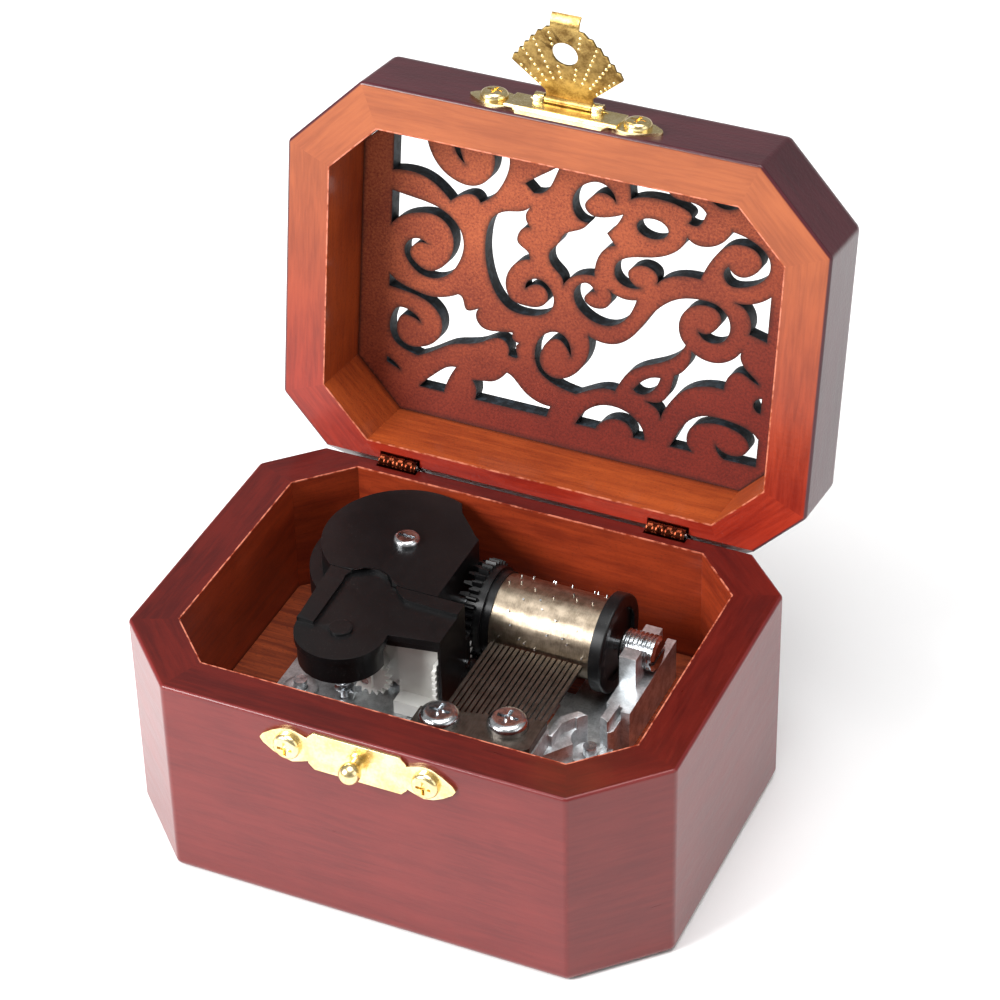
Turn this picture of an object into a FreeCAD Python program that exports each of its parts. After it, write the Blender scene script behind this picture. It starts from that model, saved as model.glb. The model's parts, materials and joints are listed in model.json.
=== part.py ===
import FreeCAD, Part
import math
import os

V = FreeCAD.Vector

# Small octagonal wooden music box with a spring driven comb movement, lid standing open.
# Millimetres. +Z up, the front of the box faces -Y. Shapes are laid out from the middle of
# the case underside and moved by ORIGIN_Y at export, so that the origin is the bottom
# centre of the whole open object.
ORIGIN_Y = 7.5355

# case
CASE_X = 84.0
CASE_Y = 63.8
CHAMFER = 11.4
WALL = 6.8
CASE_H = 33.9
FLOOR_TOP = 14.2
FLOOR_T = 4.0
MITRE_FIT = 0.05

# lid, modelled shut and then opened
RIM_GAP = 0.2
LID_Z = CASE_H + RIM_GAP
LID_H = 14.3
LID_ROUND = 3.0
PANEL_T = 2.6
OPEN_DEG = 99.0
AXIS_Y = 27.95
AXIS_Z = CASE_H + RIM_GAP / 2
BEVEL_DEG = OPEN_DEG / 2
BEVEL_GAP = 0.3
HINGE_X = (-22.2, 21.2)

# hasp
HASP_AXIS_Y = -33.2
HASP_AXIS_Z = 38.6
HASP_OPEN_DEG = 73.0
KNOB_Z = 30.2

# movement, heights measured from the floor board
FL = FLOOR_TOP
BASE_T = 2.2
CYL_Y = 12.3
CYL_H = 10.0
CYL_R = 6.2
BARREL_X = -13.6
BARREL_Y = 12.3
BARREL_TEETH = 40
CONTRATE_TEETH = 24
CONTRATE_R = 6.5
BARREL_R = CONTRATE_R * BARREL_TEETH / CONTRATE_TEETH
MODULE = 0.4
GEAR_TEETH = 36
PINION_TEETH = 16
GOV_H = 7.9
CROWN_TEETH = 16
CROWN_R = 3.2
CROSS_TEETH = 24
CROSS_R = 4.8
CROSS_X = -11.5
WORM_X = -15.8
WORM_Y = -5.6
WORM_PITCH = math.pi * 0.35
WORM_TEETH = 18
WORM_WHEEL_R = 3.15
GOV_Y = CYL_Y - math.sqrt((MODULE * (GEAR_TEETH + PINION_TEETH) / 2) ** 2 - (CYL_H - GOV_H) ** 2)
CROSS_Y = GOV_Y - CROWN_R
RECESS_H = 18.2
SHELF_H = 18.8

nodes = {}


def prism(points, z0, z1):
    face = Part.Face(Part.makePolygon([V(x, y, z0) for x, y in points] + [V(*points[0], z0)]))
    return face.extrude(V(0, 0, z1 - z0))


def box(x0, x1, y0, y1, z0, z1):
    return Part.makeBox(x1 - x0, y1 - y0, z1 - z0, V(x0, y0, z0))


def disc(r, x, y, z0, z1):
    return Part.makeCylinder(r, z1 - z0, V(x, y, z0))


def rod_x(r, y, z, x0, x1):
    return Part.makeCylinder(r, x1 - x0, V(x0, y, z), V(1, 0, 0))


def rod_y(r, x, z, y0, y1):
    return Part.makeCylinder(r, y1 - y0, V(x, y0, z), V(0, 1, 0))


def fuse(first, *rest):
    return first.fuse(list(rest)).removeSplitter()


def octagon(hx, hy, diag):
    return [
        (-(diag - hy), -hy), (diag - hy, -hy), (hx, -(diag - hx)), (hx, diag - hx),
        (diag - hy, hy), (-(diag - hy), hy), (-hx, diag - hx), (-hx, -(diag - hx)),
    ]


DIAG = CASE_X / 2 + CASE_Y / 2 - CHAMFER
OUTER = octagon(CASE_X / 2, CASE_Y / 2, DIAG)
INNER = octagon(CASE_X / 2 - WALL, CASE_Y / 2 - WALL, DIAG - WALL * math.sqrt(2))
BOARD = octagon(
    CASE_X / 2 - WALL - MITRE_FIT,
    CASE_Y / 2 - WALL - MITRE_FIT,
    DIAG - (WALL + MITRE_FIT) * math.sqrt(2),
)


def edges_at(solid, z=None, upright=False):
    found = []
    for e in solid.Edges:
        a, b = e.Vertexes[0].Point, e.Vertexes[-1].Point
        if upright and abs(a.z - b.z) > 1.0:
            found.append(e)
        if z is not None and abs(a.z - z) < 1e-6 and abs(b.z - z) < 1e-6:
            found.append(e)
    return found


def stave_cut(k):
    # wedge between the two mitre planes at the ends of wall k
    a, b = OUTER[k], OUTER[(k + 1) % 8]
    c, d = INNER[(k + 1) % 8], INNER[k]
    far = lambda o, i, t: (i[0] + (o[0] - i[0]) * t, i[1] + (o[1] - i[1]) * t)
    return prism([far(a, d, 1.6), far(b, c, 1.6), far(b, c, -0.3), far(a, d, -0.3)], -5, 60)


def slanted(side):
    # half space that takes the hinge-side bevel off the case (side 1) or the lid (side -1)
    t = math.radians(BEVEL_DEG)
    ny, nz = math.sin(t), side * math.cos(t)
    dy, dz = math.cos(t), -side * math.sin(t)
    py, pz = AXIS_Y - ny * BEVEL_GAP, AXIS_Z - nz * BEVEL_GAP
    pts = [(-12, 0), (12, 0), (12, 12), (-12, 12)]
    ring = [V(-60, py + dy * s + ny * n, pz + dz * s + nz * n) for s, n in pts]
    return Part.Face(Part.makePolygon(ring + [ring[0]])).extrude(V(120, 0, 0))


def bevel_block(side, x0, x1, s0, s1, n0, n1):
    # block laid in the bevel: s runs down the slope from the hinge axis, n out of it
    t = math.radians(BEVEL_DEG)
    ny, nz = math.sin(t), side * math.cos(t)
    dy, dz = math.cos(t), -side * math.sin(t)
    pts = [(s0, n0), (s1, n0), (s1, n1), (s0, n1)]
    ring = [V(x0, AXIS_Y + dy * s + ny * n, AXIS_Z + dz * s + nz * n) for s, n in pts]
    return Part.Face(Part.makePolygon(ring + [ring[0]])).extrude(V(x1 - x0, 0, 0))


def bevel_pin(side, x, s, r, n0, n1):
    t = math.radians(BEVEL_DEG)
    ny, nz = math.sin(t), side * math.cos(t)
    dy, dz = math.cos(t), -side * math.sin(t)
    at = V(x, AXIS_Y + dy * s + ny * n0, AXIS_Z + dz * s + nz * n0)
    return Part.makeCylinder(r, n1 - n0, at, V(0, ny, nz))


def hinge_seat(side):
    cut = []
    for x in HINGE_X:
        cut.append(rod_x(1.5, AXIS_Y, AXIS_Z, x - 3.3, x + 3.3))
        cut.append(bevel_block(side, x - 3.2, x + 3.2, 0, 4.9, -0.7, 1.0))
        for dx in (-2.0, 2.0):
            cut.append(bevel_pin(side, x + dx, 3.4, 0.43, -4.2, 0))
    return cut


def hinge_leaf(side, x):
    if side > 0:
        spans = ((-3.0, -1.05), (1.05, 3.0))
    else:
        spans = ((-0.95, 0.95),)
    leaf = bevel_block(side, x - 3.0, x + 3.0, 1.75, 4.7, -0.62, -0.12)
    for a, b in spans:
        knuckle = rod_x(1.2, AXIS_Y, AXIS_Z, x + a, x + b)
        web = bevel_block(side, x + a, x + b, 0.2, 1.9, -0.62, -0.12)
        leaf = fuse(leaf, knuckle, web)
    leaf = leaf.cut(rod_x(0.53, AXIS_Y, AXIS_Z, x - 4, x + 4))
    for dx in (-2.0, 2.0):
        leaf = leaf.cut(bevel_pin(side, x + dx, 3.4, 0.43, -2, 1))
    return leaf


def hinge_nails(side, x):
    return [bevel_pin(side, x + dx, 3.4, 0.4, -4.0, -0.12) for dx in (-2.0, 2.0)]


def opened(shape):
    s = shape.copy()
    s.rotate(V(0, AXIS_Y, AXIS_Z), V(1, 0, 0), -OPEN_DEG)
    return s


def plate_shape(points, y0, y1):
    # outline in X and Z, given thickness along Y
    face = Part.Face(Part.makePolygon([V(x, y0, z) for x, z in points] + [V(points[0][0], y0, points[0][1])]))
    return face.extrude(V(0, y1 - y0, 0))


# ------------------------------------------------------------------ case
case = prism(OUTER, 0, CASE_H)
case = case.makeFillet(1.2, edges_at(case, upright=True))
case = case.makeFillet(1.4, edges_at(case, z=0.0))
case = case.makeFillet(0.5, edges_at(case, z=CASE_H))
case = case.cut([prism(INNER, -1, CASE_H + 1), slanted(1)] + hinge_seat(1))
PLATE_SCREWS = (-10.5, 10.5)
PLATE_X = -0.2
for dx in PLATE_SCREWS:
    case = case.cut(rod_y(0.83, PLATE_X + dx, KNOB_Z, -33, -27.9))
case = case.cut(rod_y(0.83, PLATE_X, KNOB_Z, -33, -28.4))
walls = [case.common(stave_cut(k)) for k in range(8)]
nodes["case_front_wall"] = [walls[0]]
nodes["case_right_wall"] = [walls[2]]
nodes["case_back_wall"] = [walls[4]]
nodes["case_left_wall"] = [walls[6]]
nodes["case_corner_walls"] = [walls[k] for k in (1, 3, 5, 7)]

MOUNT_SCREWS = ((-22.5, -6.6), (22.3, -3.9), (8.0, 19.3))
board = prism(BOARD, FLOOR_TOP - FLOOR_T, FLOOR_TOP)
for x, y in MOUNT_SCREWS:
    board = board.cut(disc(1.25, x, y, 0, 20))
nodes["floor_board"] = [board.cut(disc(2.4, BARREL_X, BARREL_Y, 0, 20))]

# ------------------------------------------------------------------ lid
lid = prism(OUTER, LID_Z, LID_Z + LID_H)
lid = lid.makeFillet(1.2, edges_at(lid, upright=True))
lid = lid.makeFillet(LID_ROUND, edges_at(lid, z=LID_Z + LID_H))
lid = lid.makeFillet(0.5, edges_at(lid, z=LID_Z))
lid = lid.cut([prism(INNER, 30, 60), slanted(-1)] + hinge_seat(-1))
HASP_SCREWS = (-11.0, 11.0)
HASP_Z = 37.4
for dx in HASP_SCREWS:
    lid = lid.cut(rod_y(0.83, dx, HASP_Z, -33, -27.9))
rails = [opened(lid.common(stave_cut(k))) for k in range(8)]
nodes["lid_front_rail"] = [rails[0]]
nodes["lid_right_rail"] = [rails[2]]
nodes["lid_back_rail"] = [rails[4]]
nodes["lid_left_rail"] = [rails[6]]
nodes["lid_corner_rails"] = [rails[k] for k in (1, 3, 5, 7)]

# fretwork panel: each opening is a chain of smooth curves that meet in sharp corners
TOP = 20.5
BOT = -20.5
LEFT = -30.3
RIGHT = 30.0
OPENINGS = [
    [[(-24.7, TOP), (-20.6, TOP)], [(-20.2, 18.9), (-19.4, 17.0), (-18.8, 15.9)],
     [(-20.3, 16.3), (-22.0, 17.7), (-23.5, 19.1), (-24.7, TOP)]],
    [[(-15.4, TOP), (-3.6, TOP)], [(-3.1, 18.7)],
     [(-4.9, 18.5), (-6.6, 17.8), (-8.4, 16.3), (-9.4, 15.3), (-10.4, 14.8)],
     [(-11.2, 15.8), (-12.6, 16.8), (-14.2, 17.1), (-15.9, 17.4)], [(-15.3, 18.6), (-15.4, TOP)]],
    [[(1.2, TOP), (4.4, TOP)], [(5.2, 19.3), (7.2, 18.2), (9.2, 18.4), (10.3, 19.5), (10.5, TOP)],
     [(12.3, TOP)], [(11.8, 18.7), (10.2, 17.1), (7.4, 16.2), (4.7, 16.6), (2.7, 18.0), (1.2, TOP)]],
    [[(16.4, TOP), (19.9, TOP)],
     [(18.9, 18.2), (19.7, 16.3), (21.4, 15.4), (23.6, 15.0), (26.0, 15.3), (28.0, 16.3),
      (28.7, 17.7), (28.0, 19.0), (26.4, 19.6), (24.9, 19.4), (23.5, 18.5)],
     [(24.0, 19.7), (25.0, TOP)], [(RIGHT, TOP)], [(RIGHT, 16.0)],
     [(28.4, 14.8), (26.0, 14.2), (23.0, 14.0), (20.6, 14.5), (18.7, 16.0), (17.4, 18.2), (16.4, TOP)]],
    [[(RIGHT, 11.7), (RIGHT, 9.3)], [(29.1, 9.8), (28.8, 10.6), (29.2, 11.4), (RIGHT, 11.7)]],
    [[(14.6, 16.3), (14.9, 15.2), (15.8, 13.4), (17.2, 11.5), (19.3, 10.0), (21.6, 9.3), (24.0, 9.2)],
     [(24.2, 8.0), (24.8, 6.7), (26.2, 5.9), (27.8, 6.5), (29.4, 7.2)],
     [(28.2, 6.0), (27.2, 5.2), (26.4, 4.2), (26.2, 2.7)], [(24.9, 4.2), (22.9, 5.2), (20.6, 5.2), (18.6, 4.3)],
     [(18.5, 6.0), (17.6, 7.8), (16.3, 8.8)], [(15.9, 11.0), (15.1, 13.0), (14.3, 13.7), (13.2, 14.0), (12.1, 14.1)],
     [(13.6, 14.7), (14.3, 15.4), (14.6, 16.3)]],
    [[(0.9, 15.6), (-1.4, 15.2), (-3.6, 14.4), (-5.3, 13.0), (-6.0, 11.0), (-5.8, 8.8), (-4.8, 7.2),
      (-3.2, 6.3), (-1.6, 6.5), (-0.6, 7.7), (-0.3, 9.6)],
     [(-1.2, 8.1), (-2.4, 7.3), (-3.8, 7.8), (-4.9, 9.5), (-5.2, 11.2), (-4.6, 12.8), (-3.2, 13.7),
      (-1.7, 13.7), (0.2, 12.7), (1.7, 10.9), (2.6, 8.4), (2.3, 5.6)],
     [(4.4, 6.2), (6.6, 6.0), (8.6, 4.8), (10.2, 2.9), (11.6, 0.6), (13.4, -1.7), (16.0, -3.5),
      (19.4, -4.2), (22.0, -3.9), (23.8, -2.3), (24.2, -0.4), (23.4, 1.5), (21.6, 2.2), (19.4, 0.9)],
     [(21.0, 0.9), (22.3, -0.3), (22.8, -1.7), (22.2, -2.9), (20.4, -3.5), (18.2, -2.9),
      (16.6, -1.0), (16.4, 1.4), (17.6, 3.5)],
     [(15.8, 6.0), (13.6, 7.4), (11.2, 8.5), (9.0, 10.1), (7.9, 11.8), (7.1, 13.6)],
     [(5.2, 13.6), (3.3, 14.3), (0.9, 15.6)]],
    [[(10.0, 12.6), (11.4, 13.1), (12.6, 12.5), (13.6, 11.2), (14.1, 9.8)],
     [(12.4, 10.2), (11.0, 11.3), (10.0, 12.6)]],
    [[(-25.2, 15.4), (-27.2, 14.9), (-29.0, 13.9), (-30.0, 11.6), (-29.7, 9.6), (-28.8, 8.2),
      (-27.2, 8.1), (-24.9, 9.8)],
     [(-26.8, 9.1), (-28.0, 9.2), (-28.8, 10.9), (-28.4, 13.0), (-27.0, 14.0), (-24.8, 13.9),
      (-22.6, 12.7), (-21.4, 10.7), (-21.6, 8.3), (-23.2, 6.5), (-26.0, 5.4), (LEFT, 4.9)],
     [(LEFT, 2.9)], [(-28.6, 4.0), (-26.2, 4.7), (-23.6, 5.1), (-21.0, 4.7), (-19.0, 3.8)],
     [(-18.3, 4.1), (-17.9, 5.2), (-15.6, 5.4)], [(-15.7, 7.3), (-14.9, 8.2), (-12.4, 8.4), (-9.8, 8.0)],
     [(-9.7, 9.0), (-8.6, 9.5)], [(-9.1, 10.6), (-8.8, 11.6), (-10.3, 11.8)],
     [(-10.4, 10.3), (-11.2, 9.5), (-12.6, 9.5), (-14.6, 10.6), (-17.0, 11.5), (-19.6, 12.2),
      (-22.0, 13.6), (-25.2, 15.4)]],
    [[(-24.3, -3.3), (-26.2, -3.8), (-27.6, -2.9), (-28.0, -1.4), (-27.0, 0.5), (-25.2, 1.8),
      (-22.9, 2.0), (-20.7, 0.9), (-19.0, -1.6), (-18.4, -4.3), (-19.2, -7.0), (-21.4, -9.0),
      (-25.0, -10.1), (LEFT, -10.8)],
     [(LEFT, -5.4)], [(-28.4, -7.1), (-25.8, -8.1), (-23.0, -8.2), (-20.8, -6.7), (-20.0, -4.3),
      (-20.5, -1.8), (-22.0, 0.2), (-24.0, 1.0), (-26.0, 0.2), (-27.1, -1.4), (-26.3, -2.9), (-24.3, -3.3)]],
    [[(LEFT, -14.1), (-28.0, -14.4), (-25.0, -14.0), (-22.6, -12.7), (-20.8, -11.1)],
     [(-19.0, -12.4), (-17.2, -12.8), (-16.0, -11.8)],
     [(-13.9, -13.5), (-12.4, -16.0), (-11.7, -18.4), (-11.9, BOT)], [(-14.4, BOT)],
     [(-14.0, -18.0), (-15.0, -15.6), (-17.2, -14.2), (-20.0, -14.4), (-22.6, -15.9), (-24.3, -18.2),
      (-25.1, BOT)], [(LEFT, BOT)], [(LEFT, -14.1)]],
    [[(-18.8, -17.5), (-20.0, -18.6), (-20.7, BOT)], [(-19.8, BOT)], [(-19.4, -18.9), (-18.8, -17.5)]],
    [[(-8.1, 0.3), (-7.8, -0.9), (-6.6, -1.6), (-5.2, -1.4), (-4.0, -0.3), (-3.5, 1.2), (-3.9, 2.8),
      (-5.4, 4.0), (-8.0, 4.6), (-10.6, 4.2), (-12.6, 2.5), (-14.0, -0.2), (-14.8, -3.6),
      (-14.8, -7.0), (-13.8, -10.0), (-11.8, -11.3), (-9.9, -11.7), (-8.1, -12.7)],
     [(-8.7, -11.3), (-7.9, -9.6)], [(-9.6, -8.5), (-9.7, -6.8), (-8.4, -5.9), (-7.7, -4.5)],
     [(-9.6, -3.7), (-11.0, -1.8), (-11.3, 0.7), (-10.2, 2.6), (-8.0, 3.1), (-5.8, 2.8), (-4.5, 1.5),
      (-4.7, 0.0), (-6.0, -0.8), (-7.1, -0.5), (-8.1, 0.3)]],
    [[(-2.1, -1.7), (-3.0, -3.4), (-4.2, -4.5), (-4.6, -6.2), (-3.2, -8.2), (-2.5, -9.6),
      (-0.6, -10.7), (1.3, -12.4)],
     [(-0.6, -12.9), (-1.4, -14.6), (-1.0, -16.8), (0.4, -18.3), (2.4, -19.0), (4.3, -18.3), (5.3, -16.4)],
     [(4.2, -17.3), (2.6, -17.4), (1.2, -16.3), (0.5, -15.0), (1.2, -13.9), (3.0, -13.6), (6.5, -14.8)],
     [(5.6, -13.0), (4.2, -11.4)], [(5.6, -9.7)], [(3.6, -8.3), (2.8, -6.4), (2.7, -4.2)],
     [(0.8, -4.0), (-0.9, -3.2), (-2.1, -1.7)]],
    [[(9.5, -1.8), (9.0, -0.2), (7.8, 1.8), (6.0, 3.1), (3.8, 3.3), (1.5, 2.4), (-0.1, 0.6),
      (-0.2, -1.4), (1.1, -2.7), (2.9, -1.7)],
     [(1.7, -1.1), (1.3, -0.2), (2.0, 0.6), (3.6, 0.9), (4.9, 0.4), (5.6, -1.0), (5.2, -2.4)],
     [(6.8, -1.7), (9.5, -1.8)]],
    [[(5.8, -5.4), (6.5, -4.2), (8.0, -3.6), (10.0, -3.9)],
     [(8.3, -4.8), (7.9, -6.0), (9.0, -7.2), (10.8, -7.5), (12.2, -6.8), (12.5, -5.2)],
     [(14.0, -6.5), (16.4, -7.3), (19.1, -7.4)],
     [(19.8, -9.3), (21.2, -11.8), (23.0, -13.6), (25.4, -14.1), (27.5, -13.3), (28.2, -11.7),
      (27.2, -10.0), (25.4, -9.1), (23.2, -10.3)],
     [(22.6, -8.8), (23.4, -7.6), (25.6, -7.6), (28.0, -8.8), (29.4, -10.8), (29.1, -13.0),
      (27.0, -14.8), (23.3, -15.8)],
     [(22.0, -13.8), (20.0, -12.7), (18.0, -12.6), (16.6, -13.4)],
     [(15.6, -11.4), (13.6, -9.9), (11.0, -9.0), (8.2, -8.4), (6.4, -7.4), (5.8, -5.4)]],
    [[(27.2, -0.5), (RIGHT, 0.2)], [(RIGHT, -7.0)], [(28.0, -5.6), (24.6, -4.9)],
     [(26.4, -4.1), (27.3, -2.4), (27.2, -0.5)]],
    [[(7.6, -17.5), (9.4, -18.2), (12.4, -18.4), (15.4, -17.9), (17.0, -16.9), (16.6, -15.7)],
     [(18.4, -15.9), (18.9, -16.8), (19.2, -17.7)], [(17.2, -18.9), (14.4, -19.1), (12.8, BOT)],
     [(7.2, BOT)], [(7.6, -17.5)]],
    [[(19.4, BOT), (20.8, -19.3), (22.6, -19.1), (24.6, BOT)], [(19.4, BOT)]],
    [[(-9.0, -16.4), (-7.6, -15.2)], [(-5.6, -16.0), (-4.6, -17.8), (-3.5, BOT)],
     [(-5.4, -19.0), (-7.0, -17.9), (-9.0, -16.4)]],
    [[(LEFT, 17.6), (-28.0, 18.5)], [(-28.8, 17.6), (LEFT, 16.8)], [(LEFT, 17.6)]],
]


def opening(chains, z0, z1):
    edges = []
    last = None
    for chain in chains:
        pts = [V(x, y, z0) for x, y in chain]
        if last is not None:
            pts = [last] + pts
        last = pts[-1]
        if len(pts) == 2:
            edges.append(Part.makeLine(pts[0], pts[1]))
        else:
            curve = Part.BSplineCurve()
            curve.interpolate(pts)
            edges.append(curve.toShape())
    return Part.Face(Part.Wire(edges)).extrude(V(0, 0, z1 - z0))


PANEL_Z = LID_Z + LID_H - PANEL_T
panel = prism(BOARD, PANEL_Z, PANEL_Z + PANEL_T)
holes = [opening(chains, PANEL_Z - 1, PANEL_Z + PANEL_T + 1) for chains in OPENINGS]
holes.append(prism([(11.2 + 2.45 * math.cos(a), -13.6 + 1.55 * math.sin(a))
                    for a in [math.radians(15 * k) for k in range(24)]], PANEL_Z - 1, PANEL_Z + PANEL_T + 1))
panel = panel.cut(holes)
nodes["fret_panel"] = [opened(panel)]

# ------------------------------------------------------------------ hinges
case_leaves, lid_leaves, pins, case_nails, lid_nails = [], [], [], [], []
for x in HINGE_X:
    case_leaves.append(hinge_leaf(1, x))
    lid_leaves.append(opened(hinge_leaf(-1, x)))
    pins.append(rod_x(0.5, AXIS_Y, AXIS_Z, x - 3.1, x + 3.1))
    case_nails += hinge_nails(1, x)
    lid_nails += [opened(n) for n in hinge_nails(-1, x)]
nodes["hinge_case_leaves"] = case_leaves
nodes["hinge_lid_leaves"] = lid_leaves
nodes["hinge_pins"] = pins
nodes["hinge_case_nails"] = case_nails
nodes["hinge_lid_nails"] = lid_nails


# ------------------------------------------------------------------ clasp
def lobed(half, top, mid, z):
    # ornamental plate outline: wide middle, waist, round lobe at each screw, pointed end
    side = [
        (half, 0.0), (half - 0.5, 0.8), (half - 2.0, 1.9), (half - 3.4, top - 0.3), (half - 4.9, top),
        (half - 6.4, top - 0.5), (half - 7.4, top - 0.9), (mid + 0.9, top - 0.6), (mid, top + 0.35),
    ]
    up = [(x, z + h) for x, h in side]
    down = [(x, z - h) for x, h in side[1:]]
    right = list(reversed(down)) + up
    left = [(-x, h) for x, h in reversed(right)]
    return right + left


def pan_screw(x, z, y_face, r, head, shank_r, length):
    # head standing out towards -Y, shank into the wood, cross recess in the head
    s = rod_y(r, x, z, y_face - head, y_face)
    s = s.makeFillet(head * 0.7, [e for e in s.Edges if abs(e.BoundBox.YMin - (y_face - head)) < 1e-6
                                  and e.BoundBox.YLength < 1e-6])
    s = fuse(s, rod_y(shank_r, x, z, y_face - 0.1, y_face + length))
    y0 = y_face - head - 0.5
    s = s.cut(box(x - r * 0.55, x + r * 0.55, y0, y0 + 1.0, z - 0.22, z + 0.22))
    return s.cut(box(x - 0.22, x + 0.22, y0, y0 + 1.0, z - r * 0.55, z + r * 0.55))


FACE_Y = -CASE_Y / 2
PLATE_T = 0.5
strike = plate_shape([(x + PLATE_X, z) for x, z in lobed(14.9, 2.9, 6.6, KNOB_Z)], FACE_Y - PLATE_T, FACE_Y)
for dx in PLATE_SCREWS:
    strike = strike.cut(rod_y(0.83, PLATE_X + dx, KNOB_Z, -34, -30))
strike = strike.cut(rod_y(0.83, PLATE_X, KNOB_Z, -34, -30))
nodes["strike_plate"] = [strike]
nodes["strike_screws"] = [
    pan_screw(PLATE_X + dx, KNOB_Z, FACE_Y - PLATE_T, 2.05, 1.1, 0.8, 4.0) for dx in PLATE_SCREWS
]
knob_y = FACE_Y - PLATE_T
ball = Part.makeSphere(1.6, V(PLATE_X, knob_y - 2.1, KNOB_Z))
neck = rod_y(1.05, PLATE_X, KNOB_Z, knob_y - 1.6, knob_y)
root = rod_y(0.8, PLATE_X, KNOB_Z, knob_y - 0.2, knob_y + 3.4)
collar = rod_y(1.6, PLATE_X, KNOB_Z, knob_y - 0.35, knob_y)
nodes["strike_knob"] = [fuse(ball, neck, root, collar)]

hasp = plate_shape(lobed(14.8, 2.7, 6.6, HASP_Z), FACE_Y - PLATE_T, FACE_Y)
raised = box(-8.6, 8.6, FACE_Y - 1.0, FACE_Y - PLATE_T, HASP_Z - 2.4, HASP_Z + 2.4)
raised = raised.makeFillet(0.3, [e for e in raised.Edges if e.BoundBox.YMax < FACE_Y - 0.9])
hasp = fuse(hasp, raised)
hasp = hasp.cut(rod_x(1.15, HASP_AXIS_Y, HASP_AXIS_Z, -3.75, 3.75))
hasp = hasp.cut(box(-3.75, 3.75, FACE_Y - 2, FACE_Y - PLATE_T - 0.05, HASP_AXIS_Z - 1.15, 45))
for a, b in ((-5.2, -3.75), (3.75, 5.2)):
    ear = fuse(rod_x(0.85, HASP_AXIS_Y, HASP_AXIS_Z, a, b),
               box(a, b, HASP_AXIS_Y, FACE_Y - 0.6, HASP_AXIS_Z - 0.85, HASP_AXIS_Z + 0.85))
    hasp = fuse(hasp, ear)
hasp = hasp.cut(rod_x(0.43, HASP_AXIS_Y, HASP_AXIS_Z, -6, 6))
for dx in HASP_SCREWS:
    hasp = hasp.cut(rod_y(0.83, dx, HASP_Z, -34, -30))
nodes["hasp_plate"] = [opened(hasp)]
nodes["hasp_pin"] = [opened(rod_x(0.4, HASP_AXIS_Y, HASP_AXIS_Z, -5.3, 5.3))]
nodes["hasp_screws"] = [
    opened(pan_screw(dx, HASP_Z, FACE_Y - PLATE_T, 2.05, 1.1, 0.8, 4.0)) for dx in HASP_SCREWS
]

# flap hanging shut: fan with a scalloped lower edge, a hole for the knob and a curled thumb tab
HOLE_S = HASP_AXIS_Z - KNOB_Z
right = [(3.6, 0.6), (3.6, 1.5), (8.5, 5.8), (8.1, 6.9), (7.5, 7.0), (7.2, 8.1), (6.6, 8.2), (6.3, 9.3),
         (5.7, 9.4), (5.3, 10.5), (4.7, 10.6), (4.2, 11.7), (3.6, 11.8), (2.9, 12.6), (2.2, 12.7)]
outline = [(x, HASP_AXIS_Z - s) for x, s in right]
outline += [(-x, z) for x, z in reversed(outline)]
flap = plate_shape(outline, HASP_AXIS_Y - 0.55, HASP_AXIS_Y - 0.1)
curl = Part.Face(Part.makePolygon([V(-2.2, y, z) for y, z in [
    (HASP_AXIS_Y - 0.1, HASP_AXIS_Z - 12.5), (HASP_AXIS_Y - 0.1, HASP_AXIS_Z - 13.2),
    (HASP_AXIS_Y - 0.5, HASP_AXIS_Z - 14.0), (HASP_AXIS_Y - 1.3, HASP_AXIS_Z - 14.6),
    (HASP_AXIS_Y - 1.6, HASP_AXIS_Z - 14.2), (HASP_AXIS_Y - 0.9, HASP_AXIS_Z - 13.7),
    (HASP_AXIS_Y - 0.55, HASP_AXIS_Z - 13.0), (HASP_AXIS_Y - 0.55, HASP_AXIS_Z - 12.5),
    (HASP_AXIS_Y - 0.1, HASP_AXIS_Z - 12.5)]])).extrude(V(4.4, 0, 0))
flap = fuse(flap, curl, rod_x(0.85, HASP_AXIS_Y, HASP_AXIS_Z, -3.6, 3.6))
flap = flap.cut(rod_x(0.43, HASP_AXIS_Y, HASP_AXIS_Z, -6, 6))
flap = flap.cut(rod_y(1.95, PLATE_X, HASP_AXIS_Z - HOLE_S, -38, -30))
flap.rotate(V(0, HASP_AXIS_Y, HASP_AXIS_Z), V(1, 0, 0), -HASP_OPEN_DEG)
nodes["hasp_flap"] = [opened(flap)]


# ------------------------------------------------------------------ toothed wheels
def toothed(count, r, add, ded, half_tip, half_pitch, half_root, phase):
    pts = []
    for k in range(count):
        a = phase + 2 * math.pi * k / count
        for rr, h in ((r - ded, -half_root), (r, -half_pitch), (r + add, -half_tip),
                      (r + add, half_tip), (r, half_pitch), (r - ded, half_root)):
            t = a + h / rr
            pts.append((rr * math.cos(t), rr * math.sin(t)))
    return pts


def upright_wheel(pts, x, y, z0, z1):
    return prism([(x + a, y + b) for a, b in pts], z0, z1)


def wheel_on_x(pts, y, z, x0, x1):
    ring = [V(x0, y + a, z + b) for a, b in pts]
    return Part.Face(Part.makePolygon(ring + [ring[0]])).extrude(V(x1 - x0, 0, 0))


def wheel_on_y(pts, x, z, y0, y1):
    ring = [V(x + a, y0, z + b) for a, b in pts]
    return Part.Face(Part.makePolygon(ring + [ring[0]])).extrude(V(0, y1 - y0, 0))


def crown_teeth(count, r0, r1, y, z, x_root, x_tip, w_root, w_tip, phase):
    teeth = []
    for k in range(count):
        a = phase + 2 * math.pi * k / count
        ring = [V(x_root, -w_root / 2, r0), V(x_root, w_root / 2, r0),
                V(x_tip, w_tip / 2, r0), V(x_tip, -w_tip / 2, r0)]
        t = Part.Face(Part.makePolygon(ring + [ring[0]])).extrude(V(0, 0, r1 - r0))
        t.rotate(V(0, 0, 0), V(1, 0, 0), math.degrees(a) - 90)
        t.translate(V(0, y, z))
        teeth.append(t)
    return teeth


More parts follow.
